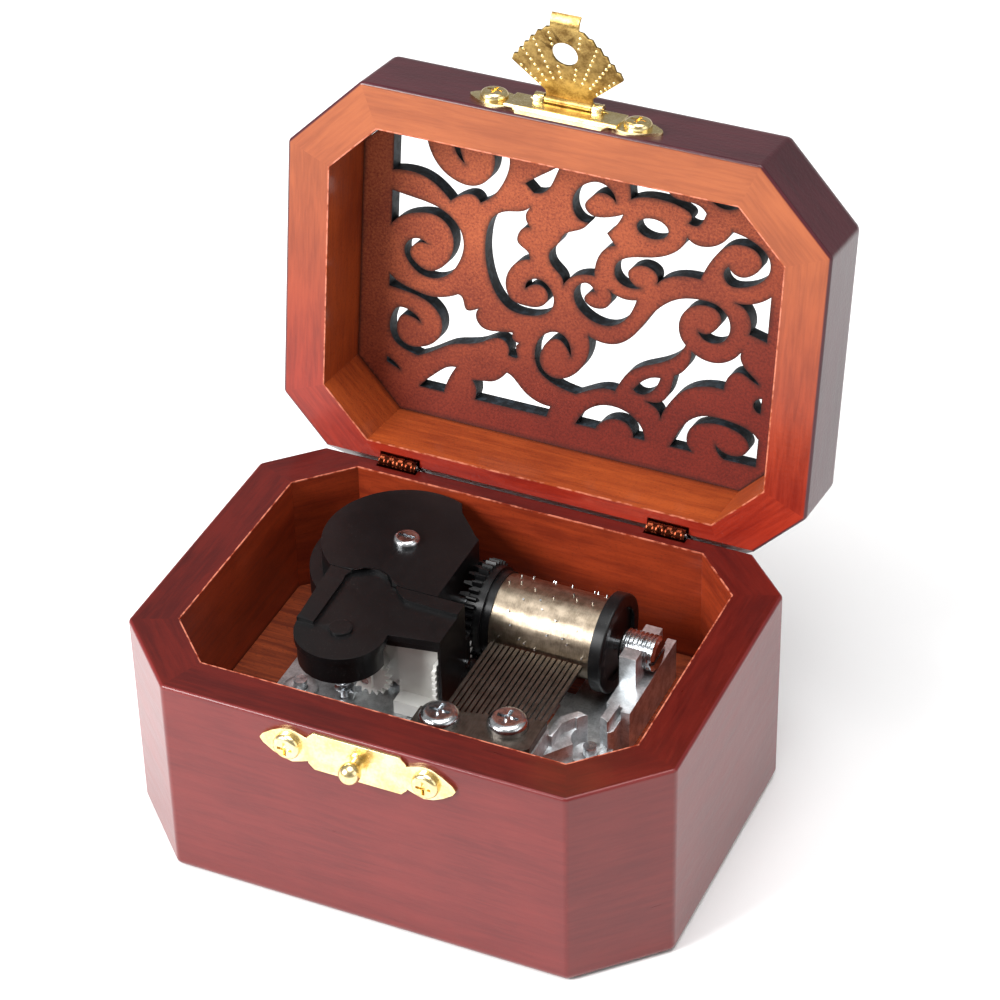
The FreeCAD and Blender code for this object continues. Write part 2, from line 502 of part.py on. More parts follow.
# ------------------------------------------------------------------ movement: fixed pieces
def thread_hole(x, y):
    return disc(1.03, x, y, FL - 1, FL + 12)


base_pts = [(-26.4, -3.0), (-26.4, 17.5), (-23.0, 20.8), (-17.0, 20.8), (-17.0, 24.9), (-10.2, 24.9), (-10.2, 20.8),
            (21.8, 20.8), (24.8, 17.8), (24.8, -2.5), (20.0, -8.0), (19.0, -18.5), (17.0, -20.2), (-3.0, -20.2),
            (-5.0, -12.5), (-24.0, -12.5), (-26.4, -10.0)]
base = prism(base_pts, FL, FL + BASE_T)
base = base.cut([box(1.0, 14.0, -6.5, 5.0, FL - 1, FL + 3), box(1.0, 15.0, 8.0, 15.5, FL - 1, FL + 3)])
bed = prism([(-1.2, -19.0), (17.6, -19.0), (17.6, -7.6), (-1.2, -11.0)], FL + BASE_T, FL + 8.7)
step = prism([(17.6, -10.0), (17.6, -4.2), (19.3, -1.4), (22.4, -2.4), (23.4, 2.4), (24.8, 2.4), (24.8, -1.2),
              (21.0, -5.4)], FL + BASE_T, FL + 5.6)
ridge = prism([(16.9, -7.8), (18.1, -7.8), (18.3, -4.6), (19.5, -2.7), (21.4, -3.2), (23.2, -3.2), (24.2, -1.6),
               (24.3, 2.6), (22.9, 2.6), (22.9, -1.0), (22.3, -1.9), (21.2, -1.6), (19.4, -1.2), (17.4, -3.4)],
              FL + BASE_T, FL + 7.6)
bracket = box(22.2, 24.8, 2.4, 17.6, FL + BASE_T, FL + 7.2)
ears = [box(22.2, 24.8, CYL_Y - 5.2, CYL_Y - 2.0, FL + 5, FL + 12.3),
        box(22.2, 24.8, CYL_Y + 2.0, CYL_Y + 5.2, FL + 5, FL + 10.5)]
cheek = box(24.8, 26.2, 1.4, 19.5, FL, FL + 7.2)
pad = prism([(-13.5, -3.6), (-5.4, -3.6), (-5.4, -9.8), (-13.5, -9.8)], FL + BASE_T, FL + 2.4)
boss_l = disc(2.6, *MOUNT_SCREWS[0], FL, FL + 2.8)
boss_r = disc(2.6, *MOUNT_SCREWS[1], FL, FL + 2.6)
pivot = disc(1.6, WORM_X, WORM_Y, FL + BASE_T, FL + 2.3)
base = fuse(base, bed, step, ridge, bracket, *ears, cheek, pad, boss_l, boss_r, pivot)
base = base.cut(disc(2.7, *MOUNT_SCREWS[1], FL + 2.6, FL + 9))
base = base.cut(rod_x(2.8, CYL_Y, FL + CYL_H, 20, 28))
base = base.cut(box(20, 28, CYL_Y - 2.8, CYL_Y + 2.8, FL + CYL_H, FL + 20))
base = base.cut([disc(1.55, BARREL_X, BARREL_Y, FL - 1, FL + 3), disc(0.55, WORM_X, WORM_Y, FL + 0.9, FL + 3)])
base = base.cut([thread_hole(x, y) for x, y in MOUNT_SCREWS])
COMB_SCREWS = ((3.1, -13.0), (12.6, -10.6))
base = base.cut([disc(1.23, x, y, FL + 2.6, FL + 9) for x, y in COMB_SCREWS])
nodes["base_frame"] = [base]

mount_screws = []
for x, y in MOUNT_SCREWS:
    z = FLOOR_TOP - FLOOR_T
    s = fuse(disc(2.3, x, y, z - 1.5, z), disc(1.0, x, y, z - 0.2, FL + 4.2))
    mount_screws.append(s.cut(box(x - 1.5, x + 1.5, y - 0.25, y + 0.25, z - 2, z - 0.9)))
nodes["movement_screws"] = mount_screws

# comb: eighteen tuned teeth cut in one steel plate
TEETH = 18
PITCH = 0.82
COMB_X0 = 2.62
TIP_Y = CYL_Y - 6.66
body = prism([(COMB_X0 - 0.1, -10.9), (17.35, -7.6), (17.35, -14.0), (13.0, -18.0), (2.0, -18.0), (-0.6, -16.0),
              (-0.6, -11.4)], FL + 8.7, FL + 10.0)
comb = body
for k in range(TEETH):
    x = COMB_X0 + PITCH * k
    root_y = -10.6 + 3.2 * k / (TEETH - 1)
    comb = comb.fuse(box(x, x + 0.56, root_y - 1.6, TIP_Y, FL + 9.4, FL + 10.0))
comb = comb.removeSplitter()
comb = comb.cut([disc(1.3, x, y, FL + 8, FL + 11) for x, y in COMB_SCREWS])
nodes["comb"] = [comb]

comb_screws = []
for x, y in COMB_SCREWS:
    s = disc(3.0, x, y, FL + 10.0, FL + 11.6)
    s = s.makeFillet(1.1, [e for e in s.Edges if e.BoundBox.ZMin > FL + 11.5])
    s = fuse(s, disc(1.2, x, y, FL + 2.8, FL + 10.1))
    s = s.cut(box(x - 1.6, x + 1.6, y - 0.3, y + 0.3, FL + 10.9, FL + 12))
    comb_screws.append(s.cut(box(x - 0.3, x + 0.3, y - 1.6, y + 1.6, FL + 10.9, FL + 12)))
nodes["comb_screws"] = comb_screws

# threaded bearing at the right end of the cylinder
profile = [(0.0, 0.0), (0.0, 2.3)]
for k in range(8):
    x = 0.25 + 0.66 * k
    profile += [(x, 2.45), (x + 0.18, 2.72), (x + 0.34, 2.72), (x + 0.5, 2.45)]
profile += [(5.6, 2.2), (5.6, 0.0)]
ring = [V(20.8 + x, CYL_Y, FL + CYL_H + r) for x, r in profile]
screw = Part.Face(Part.makePolygon(ring + [ring[0]])).revolve(V(0, CYL_Y, FL + CYL_H), V(1, 0, 0), 360)
screw = screw.cut(rod_x(1.05, CYL_Y, FL + CYL_H, 20, 22.6))
nodes["bearing_screw"] = [screw.cut(box(25.7, 27, CYL_Y - 3, CYL_Y + 3, FL + CYL_H - 0.35, FL + CYL_H + 0.35))]

# outline of the governor cover: round lobe over the fly, neck, and an arm to the cylinder gear
def governor_plan(off, z0, z1):
    lobe = disc(6.8 - off, -13.8, -9.3, z0, z1)
    neck = disc(3.9 - off, -14.9, 0.6, z0, z1)
    arm = prism([(-20.55 + off, -9.3), (-21.4 + off, 2.9 - off), (-14.9, 2.9 - off), (-9.5, 2.0 - off),
                 (0.4 - off, 2.0 - off), (0.4 - off, -6.6 + off), (-7.4, -7.9 + off)], z0, z1)
    return fuse(lobe, neck, arm)


# spring cover: round cap with a flat towards the cylinder gear and two legs to the base
FLAT_X = -4.0
COVER_X, COVER_Y, COVER_R = -14.5, 12.7, 12.0
cap = fuse(disc(COVER_R, COVER_X, COVER_Y, FL + 7.0, FL + SHELF_H),
           box(COVER_X, -3.0, 1.0, 12.0, FL + 7.0, FL + SHELF_H))
cap = cap.cut([box(FLAT_X, 0, -1, 30, FL, FL + 30),
               prism([(-10.2, 26.0), (-10.0, 23.9), (-9.1, 21.9), (-6.7, 19.4), (-4.8, 17.3), (-3.0, 16.0),
                      (-3.0, 26.0)], FL, FL + 30)])
hollow = fuse(disc(COVER_R - 0.9, COVER_X, COVER_Y, FL + 6, FL + 17.9),
              box(COVER_X, -4.9, 0.0, 12.0, FL + 6, FL + 17.9))
hollow = hollow.cut([box(FLAT_X - 0.9, 0, -1, 30, FL, FL + 30),
                     prism([(-11.4, 26.0), (-11.1, 23.6), (-9.9, 21.3), (-7.4, 18.8), (-5.0, 16.0), (-3.0, 16.0),
                            (-3.0, 26.0)], FL, FL + 30), governor_plan(-1.05, FL, FL + 30)])
legs = [box(-26.2, -25.25, 9.0, 15.6, FL + BASE_T, FL + 12), box(-26.2, -24.4, 9.0, 15.6, FL + 7, FL + 12),
        box(-16.6, -10.6, 23.95, 24.75, FL + BASE_T, FL + 12), box(-16.6, -10.6, 23.1, 24.75, FL + 7, FL + 12)]
fin_edge = [math.radians(170 + 5 * k) for k in range(14)]
fin = prism([(COVER_X + 13.9 * math.cos(t), COVER_Y + 13.9 * math.sin(t)) for t in fin_edge] +
            [(COVER_X + 11.5 * math.cos(t), COVER_Y + 11.5 * math.sin(t)) for t in reversed(fin_edge)],
            FL + 10.4, FL + 14.5)
cap = fuse(cap, *legs, fin).cut([hollow, governor_plan(-0.15, FL, FL + 30)])
cap = cap.cut([disc(8.8, BARREL_X, BARREL_Y, FL + 2.3, FL + 17.25), box(-9.6, 0, -2, 8.0, FL, FL + 12.4),
               rod_x(1.05, CYL_Y, FL + CYL_H, -6, 0)])
cap = fuse(cap, disc(2.2, BARREL_X, BARREL_Y, FL + 17.2, FL + 18.0))
cap = cap.cut(disc(0.93, BARREL_X, BARREL_Y, FL + 17.4, FL + 20))
nodes["spring_cover"] = [max(cap.Solids, key=lambda s: s.Volume)]
head = disc(2.0, BARREL_X, BARREL_Y, FL + 18.8, FL + 19.8)
head = head.makeFillet(0.7, [e for e in head.Edges if e.BoundBox.ZMin > FL + 19.7])
head = fuse(head, disc(0.9, BARREL_X, BARREL_Y, FL + 17.5, FL + 18.9))
nodes["spring_cover_screw"] = [head.cut(box(BARREL_X - 1.3, BARREL_X + 1.3, BARREL_Y - 0.25, BARREL_Y + 0.25,
                                            FL + 19.3, FL + 21))]


# governor cover: hollow shell with a sunk top, open below its arm, and one cheek standing on the base
sunk = prism([(-17.9, -9.9), (-18.2, 0.5), (-18.4, 1.5), (-18.0, 2.9), (-16.5, 4.1), (-14.5, 4.4), (-12.2, 3.6),
              (-10.6, 2.2), (-9.4, 0.7), (-8.1, -0.3), (-2.2, -0.5), (1.0, -0.5), (1.0, -17.0), (-25.0, -17.0),
              (-25.0, -9.9)], FL + RECESS_H, FL + 30)
shell = fuse(governor_plan(0, FL + 17.2, FL + SHELF_H).cut(sunk), governor_plan(0.35, FL + 13.5, FL + 17.3))
shell = shell.cut(governor_plan(1.25, FL + 13, FL + 17.2))
shell = shell.cut([box(-9.2, 1.0, -9.0, -4.9, FL + 13, FL + 16.0), disc(8.8, BARREL_X, BARREL_Y, FL, FL + 17.25),
                   box(-9.6, 2.0, 0.0, 3.0, FL + 13, FL + 16.0)])
shell = fuse(shell, box(-0.05, 0.4, -6.4, 2.0, FL + BASE_T, FL + 17.3),
             box(-0.05, 0.4, 1.9, 3.4, FL + BASE_T, FL + 12.3),
             disc(1.7, -13.8, -9.3, FL + RECESS_H - 0.1, FL + RECESS_H + 0.45))
shell = shell.cut([rod_x(0.65, GOV_Y, FL + GOV_H, -10, 2), disc(0.55, WORM_X, WORM_Y, FL + 13, FL + 17.85)])
nodes["governor_cover"] = [max(shell.Solids, key=lambda s: s.Volume)]

# governor frame under that cover: top plate with hanging bearings, panel, ledge and a toothed side plate
top = box(-12.8, -0.1, -7.4, 1.0, FL + 16.2, FL + 17.15).common(governor_plan(1.35, FL, FL + 20))
frame = [
    box(-9.0, -8.1, 0.8, 3.0, FL + GOV_H - 1.1, FL + GOV_H + 1.1),
    box(-9.0, -8.1, -0.2, 0.6, FL + 12.2, FL + 16.3),
    box(-9.0, -8.1, -0.2, 0.85, FL + 6.8, FL + 12.3),
    box(CROSS_X - 1.1, CROSS_X + 1.1, -0.4, 0.4, FL + GOV_H - 1.1, FL + 16.3),
    box(CROSS_X - 1.1, CROSS_X + 1.1, -7.4, -6.7, FL + GOV_H - 1.1, FL + 16.3),
    box(-7.8, -0.95, -3.6, -3.0, FL + BASE_T, FL + 16.3),
    box(-7.6, -1.0, -6.2, -3.0, FL + 2.4, FL + 4.6),
    box(-1.0, -0.45, -6.2, -3.0, FL + BASE_T, FL + 13.2),
]
for k in range(7):
    z = FL + 5.4 + 1.1 * k
    frame.append(prism([(-1.0, -6.75), (-0.45, -6.75), (-0.45, -6.1), (-1.0, -6.1)], z, z + 0.55))
inner = fuse(top, *frame)
inner = inner.cut([rod_x(0.65, GOV_Y, FL + GOV_H, -10, 2), rod_y(0.65, CROSS_X, FL + GOV_H, -8, 0.8),
                   disc(0.8, WORM_X, WORM_Y, FL + 13, FL + 20)])
nodes["governor_frame"] = [max(inner.Solids, key=lambda s: s.Volume)]

# ------------------------------------------------------------------ spring barrel
gear = upright_wheel(toothed(BARREL_TEETH, BARREL_R, 0.5, 0.8, 0.22, 0.34, 0.46, 0.0),
                     BARREL_X, BARREL_Y, FL + 3.05, FL + 3.95)
gear = fuse(gear, disc(3.0, BARREL_X, BARREL_Y, FL + 2.4, FL + 3.1))
nodes["barrel_gear"] = [gear.cut(disc(1.6, BARREL_X, BARREL_Y, FL, FL + 30))]
drum = disc(8.5, BARREL_X, BARREL_Y, FL + 3.95, FL + 16.3)
drum = drum.cut([disc(8.0, BARREL_X, BARREL_Y, FL + 4.6, FL + 30), disc(1.6, BARREL_X, BARREL_Y, FL, FL + 30)])
nodes["spring_barrel"] = [drum]
lid_disc = disc(8.5, BARREL_X, BARREL_Y, FL + 16.3, FL + 16.9)
nodes["barrel_lid"] = [lid_disc.cut(disc(1.6, BARREL_X, BARREL_Y, FL, FL + 30))]
TURNS = 6
outer_edge, inner_edge = [], []
for k in range(TURNS * 12 + 1):
    a = 2 * math.pi * k / 12
    r = 2.2 + 5.4 * k / (TURNS * 12)
    outer_edge.append(V(BARREL_X + (r + 0.15) * math.cos(a), BARREL_Y + (r + 0.15) * math.sin(a), FL + 5.0))
    inner_edge.append(V(BARREL_X + (r - 0.15) * math.cos(a), BARREL_Y + (r - 0.15) * math.sin(a), FL + 5.0))
c1, c2 = Part.BSplineCurve(), Part.BSplineCurve()
c1.interpolate(outer_edge)
c2.interpolate(inner_edge)
strip = Part.Wire([c1.toShape(), Part.makeLine(outer_edge[-1], inner_edge[-1]), c2.toShape(),
                   Part.makeLine(inner_edge[0], outer_edge[0])])
nodes["mainspring"] = [Part.Face(strip).extrude(V(0, 0, 10.8))]
arbor = fuse(disc(1.5, BARREL_X, BARREL_Y, 8.2, FL + 17.0), disc(1.2, BARREL_X, BARREL_Y, 3.4, 8.3))
arbor = fuse(arbor, disc(2.0, BARREL_X, BARREL_Y, FL + 5.2, FL + 15.6))
nodes["winding_arbor"] = [arbor]
KEY_Z = 4.4
hub = fuse(disc(2.2, BARREL_X, BARREL_Y, 2.2, 8.2), disc(3.0, BARREL_X, BARREL_Y, 7.4, 8.2))
wing = box(BARREL_X - 8.2, BARREL_X + 8.2, BARREL_Y - 0.6, BARREL_Y + 0.6, 1.2, 6.6)
wing = wing.makeFillet(2.4, [e for e in wing.Edges if e.BoundBox.YLength > 1 and e.BoundBox.XLength < 0.1])
key = fuse(hub, wing)
key = key.cut([disc(1.23, BARREL_X, BARREL_Y, 3.2, 9)] +
              [rod_y(1.5, BARREL_X + s * 5.2, 3.9, BARREL_Y - 2, BARREL_Y + 2) for s in (-1, 1)])
nodes["winding_key"] = [key]

# ------------------------------------------------------------------ cylinder
CY, CZ = CYL_Y, FL + CYL_H
to_pinion = math.atan2(GOV_H - CYL_H, GOV_Y - CYL_Y)
wheel = wheel_on_x(toothed(GEAR_TEETH, MODULE * GEAR_TEETH / 2, 0.34, 0.5, 0.11, 0.24, 0.4, to_pinion),
                   CY, CZ, -1.9, -0.3)
crown = crown_teeth(CONTRATE_TEETH, CONTRATE_R - 0.4, CONTRATE_R + 0.4, CY, CZ, -1.8, -3.25, 0.8, 0.45,
                    math.radians(-90 + 180 / CONTRATE_TEETH))
wheel = fuse(wheel, rod_x(6.9, CY, CZ, -0.4, 0.8), rod_x(6.4, CY, CZ, 0.7, 2.0),
             rod_x(5.55, CY, CZ, 1.9, 3.6), *crown)
nodes["cylinder_gear"] = [wheel.cut(rod_x(1.0, CY, CZ, -5, 8))]
tube = rod_x(CYL_R, CY, CZ, 2.0, 18.2).cut(rod_x(CYL_R - 0.6, CY, CZ, 1.5, 19))
end_cap = fuse(rod_x(7.5, CY, CZ, 18.2, 20.2), rod_x(5.55, CY, CZ, 16.8, 18.3))
end_cap = end_cap.makeFillet(0.35, [e for e in end_cap.Edges if abs(e.BoundBox.XMin - 20.2) < 1e-6])
nodes["cylinder_end_cap"] = [end_cap.cut([rod_x(1.0, CY, CZ, 10, 30), rod_x(5.6, CY, CZ, 19.6, 21)])]
nodes["cylinder_axle"] = [rod_x(1.0, CY, CZ, -4.6, 22.2)]
pins = []
for k in range(TEETH):
    x = COMB_X0 + 0.28 + PITCH * k
    if x > 17.9:
        continue
    for n in range(4):
        a = math.radians((k * 67 + n * 91 + (k * n * 13) % 40) % 360)
        p = Part.makeCylinder(0.14, 0.75, V(x, CY + 5.8 * math.cos(a), CZ + 5.8 * math.sin(a)),
                              V(0, math.cos(a), math.sin(a)))
        pins.append(p)
nodes["cylinder_tube"] = [tube.cut(pins)]
nodes["cylinder_pins"] = pins

# ------------------------------------------------------------------ governor train
GZ = FL + GOV_H
phase = math.atan2(CYL_H - GOV_H, CYL_Y - GOV_Y) + math.pi / PINION_TEETH
spool = wheel_on_x(toothed(PINION_TEETH, MODULE * PINION_TEETH / 2, 0.34, 0.5, 0.11, 0.24, 0.4, phase),
                   GOV_Y, GZ, -1.9, -0.3)
face_x = CROSS_X + CROSS_R
crown = crown_teeth(CROWN_TEETH, CROWN_R - 0.4, CROWN_R + 0.4, GOV_Y, GZ, face_x + 0.45, face_x - 0.4, 0.6, 0.32,
                    math.radians(180 + 180 / CROWN_TEETH))
spool = fuse(spool, rod_x(3.6, GOV_Y, GZ, face_x + 0.4, face_x + 1.2), rod_x(1.5, GOV_Y, GZ, face_x + 1.1, -1.8), *crown)
nodes["transfer_wheel"] = [spool.cut(rod_x(0.6, GOV_Y, GZ, -10, 2))]
nodes["transfer_arbor"] = [rod_x(0.6, GOV_Y, GZ, -8.9, 0.7)]
cross = wheel_on_y(toothed(CROSS_TEETH, CROSS_R, 0.32, 0.5, 0.12, 0.23, 0.4, 0.0),
                   CROSS_X, GZ, CROSS_Y - 0.42, CROSS_Y + 0.42)
worm_wheel = wheel_on_y(toothed(WORM_TEETH, WORM_WHEEL_R, 0.3, 0.45, 0.1, 0.18, 0.3, math.pi + math.pi / WORM_TEETH),
                        CROSS_X, GZ, WORM_Y - 0.4, WORM_Y + 0.4)
cross = fuse(cross, worm_wheel, rod_y(1.3, CROSS_X, GZ, WORM_Y, CROSS_Y))
nodes["worm_wheel"] = [cross.cut(rod_y(0.6, CROSS_X, GZ, -9, 2))]
nodes["worm_wheel_arbor"] = [rod_y(0.6, CROSS_X, GZ, -7.3, 0.3)]
worm_z = GZ - 4 * WORM_PITCH
helix = Part.makeHelix(WORM_PITCH, 6 * WORM_PITCH, 1.1)
thread = [V(0.7, 0, -0.26), V(1.45, 0, -0.1), V(1.45, 0, 0.1), V(0.7, 0, 0.26)]
thread = Part.Wire(helix).makePipeShell([Part.makePolygon(thread + [thread[0]])], True, True)
thread.translate(V(WORM_X, WORM_Y, worm_z))
core = disc(0.75, WORM_X, WORM_Y, FL + 2.6, FL + 10.8).fuse(thread)
nodes["governor_worm"] = [core.fuse([disc(0.5, WORM_X, WORM_Y, FL + 1.1, FL + 2.6),
                                     disc(0.5, WORM_X, WORM_Y, FL + 10.8, FL + 17.8)])]
vane = fuse(disc(1.2, WORM_X, WORM_Y, FL + 11.5, FL + 13.9),
            box(WORM_X - 3.2, WORM_X + 3.2, WORM_Y - 0.3, WORM_Y + 0.3, FL + 11.6, FL + 13.8))
nodes["governor_fly"] = [vane.cut(disc(0.5, WORM_X, WORM_Y, FL + 10, FL + 15))]

# ------------------------------------------------------------------ export
os.makedirs("parts", exist_ok=True)
total = None
for name, solids in nodes.items():
    shape = solids[0] if len(solids) == 1 else Part.makeCompound(solids)
    shape = shape.copy()
    shape.translate(V(0, -ORIGIN_Y, 0))
    if shape.ShapeType == "Compound" and len(shape.Solids) == 1:
        shape = shape.Solids[0]
    bb = shape.BoundBox
    total = bb if total is None else total.united(bb)
    if not shape.isValid():
        print("not valid:", name)
    print(name, len(shape.Solids), round(shape.Volume, 2))
    shape.exportStep("parts/" + name + ".step")
print("all", [round(v, 3) for v in (total.XMin, total.XMax, total.YMin, total.YMax, total.ZMin, total.ZMax)])
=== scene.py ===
import json
import math

import bmesh
import bpy
from mathutils import Matrix, Vector, noise
from mathutils.kdtree import KDTree


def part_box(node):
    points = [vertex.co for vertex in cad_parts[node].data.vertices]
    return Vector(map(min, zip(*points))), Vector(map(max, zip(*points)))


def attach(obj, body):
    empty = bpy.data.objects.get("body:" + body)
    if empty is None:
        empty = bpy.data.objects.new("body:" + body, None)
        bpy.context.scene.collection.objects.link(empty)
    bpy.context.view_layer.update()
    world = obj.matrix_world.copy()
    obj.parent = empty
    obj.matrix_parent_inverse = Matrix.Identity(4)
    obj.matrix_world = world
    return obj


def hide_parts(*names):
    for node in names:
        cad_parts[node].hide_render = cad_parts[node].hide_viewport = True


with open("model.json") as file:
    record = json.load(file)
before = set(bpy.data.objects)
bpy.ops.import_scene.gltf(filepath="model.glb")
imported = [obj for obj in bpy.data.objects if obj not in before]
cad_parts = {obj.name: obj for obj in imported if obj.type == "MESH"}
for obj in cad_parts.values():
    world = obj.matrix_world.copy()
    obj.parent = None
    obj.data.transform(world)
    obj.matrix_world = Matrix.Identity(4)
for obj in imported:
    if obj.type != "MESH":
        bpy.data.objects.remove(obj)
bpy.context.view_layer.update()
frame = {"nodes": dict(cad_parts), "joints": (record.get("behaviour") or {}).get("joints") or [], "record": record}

mm = 0.001
scene = bpy.context.scene
scene.view_settings.view_transform = "Standard"
print("frame loaded")


# places read off the frame, in millimetres, so that every pattern and piece follows the CAD
def boxOf(node):
    low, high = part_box(node)
    return low / mm, high / mm


def jointAt(name):
    for joint in frame["joints"]:
        if joint["name"] == name:
            return Vector(joint["pos_m"]) / mm
    raise ValueError(name)


frontLow, frontHigh = boxOf("case_front_wall")
backHigh = boxOf("case_back_wall")[1]
rightHigh = boxOf("case_right_wall")[1]
box = {
    "middleY": (frontLow.y + backHigh.y) / 2,
    "halfX": rightHigh.x,
    "halfY": (backHigh.y - frontLow.y) / 2,
    "chamfer": 11.4,
    "wall": 6.8,
    "rimZ": frontHigh.z,
    "lidHeight": 14.3,
    "lidOpenAngle": 99.0,      # how far the CAD lid stands open at rest
}
box["diagonal"] = box["halfX"] + box["halfY"] - box["chamfer"]
hingeAxis = jointAt("lid_hinge")
haspAxis = jointAt("hasp_hinge")


# camera in front, to the right and above
camera = {
    "place": (166.31, -351.11, 336.92),
    "azimuth": 24.92,
    "elevation": 36.89,
    "roll": -1.364,
    "lens": 123.0,
    "shift": (0.0036, 0.013),
}


def makeCamera():
    a, e, r = (math.radians(camera[k]) for k in ("azimuth", "elevation", "roll"))
    back = Vector((math.sin(a) * math.cos(e), -math.cos(a) * math.cos(e), math.sin(e)))
    right = Vector((math.cos(a), math.sin(a), 0))
    up = back.cross(right)
    axisX = right * math.cos(r) + up * math.sin(r)
    axisY = up * math.cos(r) - right * math.sin(r)
    turn = Matrix((axisX, axisY, back)).transposed().to_4x4()
    data = bpy.data.cameras.new("camera")
    data.lens = camera["lens"]
    data.shift_x, data.shift_y = camera["shift"]
    data.clip_start = 0.01
    holder = bpy.data.objects.new("camera", data)
    holder.matrix_world = Matrix.Translation(Vector(camera["place"]) * mm) @ turn
    scene.collection.objects.link(holder)
    scene.camera = holder


makeCamera()
print("camera placed")


# one procedural finish, built node by node
class Finish:
    def __init__(self, name, **settings):
        self.material = bpy.data.materials.new(name)
        self.material.use_nodes = True
        self.tree = self.material.node_tree
        self.shader = self.tree.nodes["Principled BSDF"]
        self.own = self.add("ShaderNodeTexCoord").outputs["Object"]
        self.place = self.mapped(self.own, scale=(1000, 1000, 1000))
        for key, value in settings.items():
            self.shader.inputs[key.replace("_", " ")].default_value = value

    def add(self, kind, **values):
        made = self.tree.nodes.new(kind)
        for key, value in values.items():
            setattr(made, key, value)
        return made

    def feed(self, socket, value):
        if isinstance(value, bpy.types.NodeSocket):
            self.tree.links.new(value, socket)
        else:
            socket.default_value = value

    def set(self, name, value):
        self.feed(self.shader.inputs[name], value)

    def sum(self, operation, a, b=0.0, c=0.0):
        made = self.add("ShaderNodeMath", operation=operation)
        for socket, value in zip(made.inputs, (a, b, c)):
            self.feed(socket, value)
        return made.outputs[0]

    def mapped(self, source, scale=(1, 1, 1), turn=(0, 0, 0), shift=(0, 0, 0)):
        made = self.add("ShaderNodeMapping")
        self.feed(made.inputs["Vector"], source)
        made.inputs["Scale"].default_value = scale
        made.inputs["Rotation"].default_value = turn
        made.inputs["Location"].default_value = shift
        return made.outputs[0]

    def split(self, source):
        made = self.add("ShaderNodeSeparateXYZ")
        self.feed(made.inputs[0], source)
        return made.outputs[:3]

    def joined(self, x, y, z):
        made = self.add("ShaderNodeCombineXYZ")
        for socket, value in zip(made.inputs, (x, y, z)):
            self.feed(socket, value)
        return made.outputs[0]

    def noise(self, where, perMm, detail=3.0, rough=0.5, warp=0.0):
        made = self.add("ShaderNodeTexNoise")
        self.feed(made.inputs["Vector"], where)
        made.inputs["Scale"].default_value = perMm
        made.inputs["Detail"].default_value = detail
        made.inputs["Roughness"].default_value = rough
        made.inputs["Distortion"].default_value = warp
        return made.outputs[0]

    def step(self, value, low, high, start=0.0, end=1.0):
        made = self.add("ShaderNodeMapRange", interpolation_type="SMOOTHSTEP")
        for socket, given in zip(made.inputs, (value, low, high, start, end)):
            self.feed(socket, given)
        return made.outputs[0]

    def mix(self, share, a, b, kind="MIX"):
        made = self.add("ShaderNodeMix", data_type="RGBA", blend_type=kind)
        self.feed(made.inputs[0], share)
        self.feed(made.inputs[6], a)
        self.feed(made.inputs[7], b)
        return made.outputs[2]

    def bump(self, height, strength, depthMm, under=None):
        made = self.add("ShaderNodeBump")
        self.feed(made.inputs["Height"], height)
        made.inputs["Strength"].default_value = strength
        made.inputs["Distance"].default_value = depthMm * mm
        if under is not None:
            self.feed(made.inputs["Normal"], under)
        self.set("Normal", made.outputs[0])
        return made.outputs[0]


def tone(red, green, blue):
    # an 8 bit display colour as the linear colour that a socket wants
    linear = [c / 255 / 12.92 if c < 10.3 else ((c / 255 + 0.055) / 1.055) ** 2.4 for c in (red, green, blue)]
    return (*linear, 1.0)


# lacquered wood: burgundy outside, red rim, orange brown inside; the finish depends on how far in a point lies
wood = {
    "outside": ((94, 25, 26), (112, 34, 32)),
    "caseRim": ((62, 9, 7), (88, 18, 11)),
    "lidOutside": ((56, 19, 27), (74, 28, 36)),
    "lidRimFar": ((136, 66, 30), (162, 86, 44)),
    "lidRimNear": ((112, 22, 13), (150, 42, 24)),
    "inside": ((106, 31, 13), (146, 52, 21)),
    "lidInside": ((126, 48, 18), (168, 76, 31)),
    "grainStretch": 0.09,
    "coat": 0.3,
}


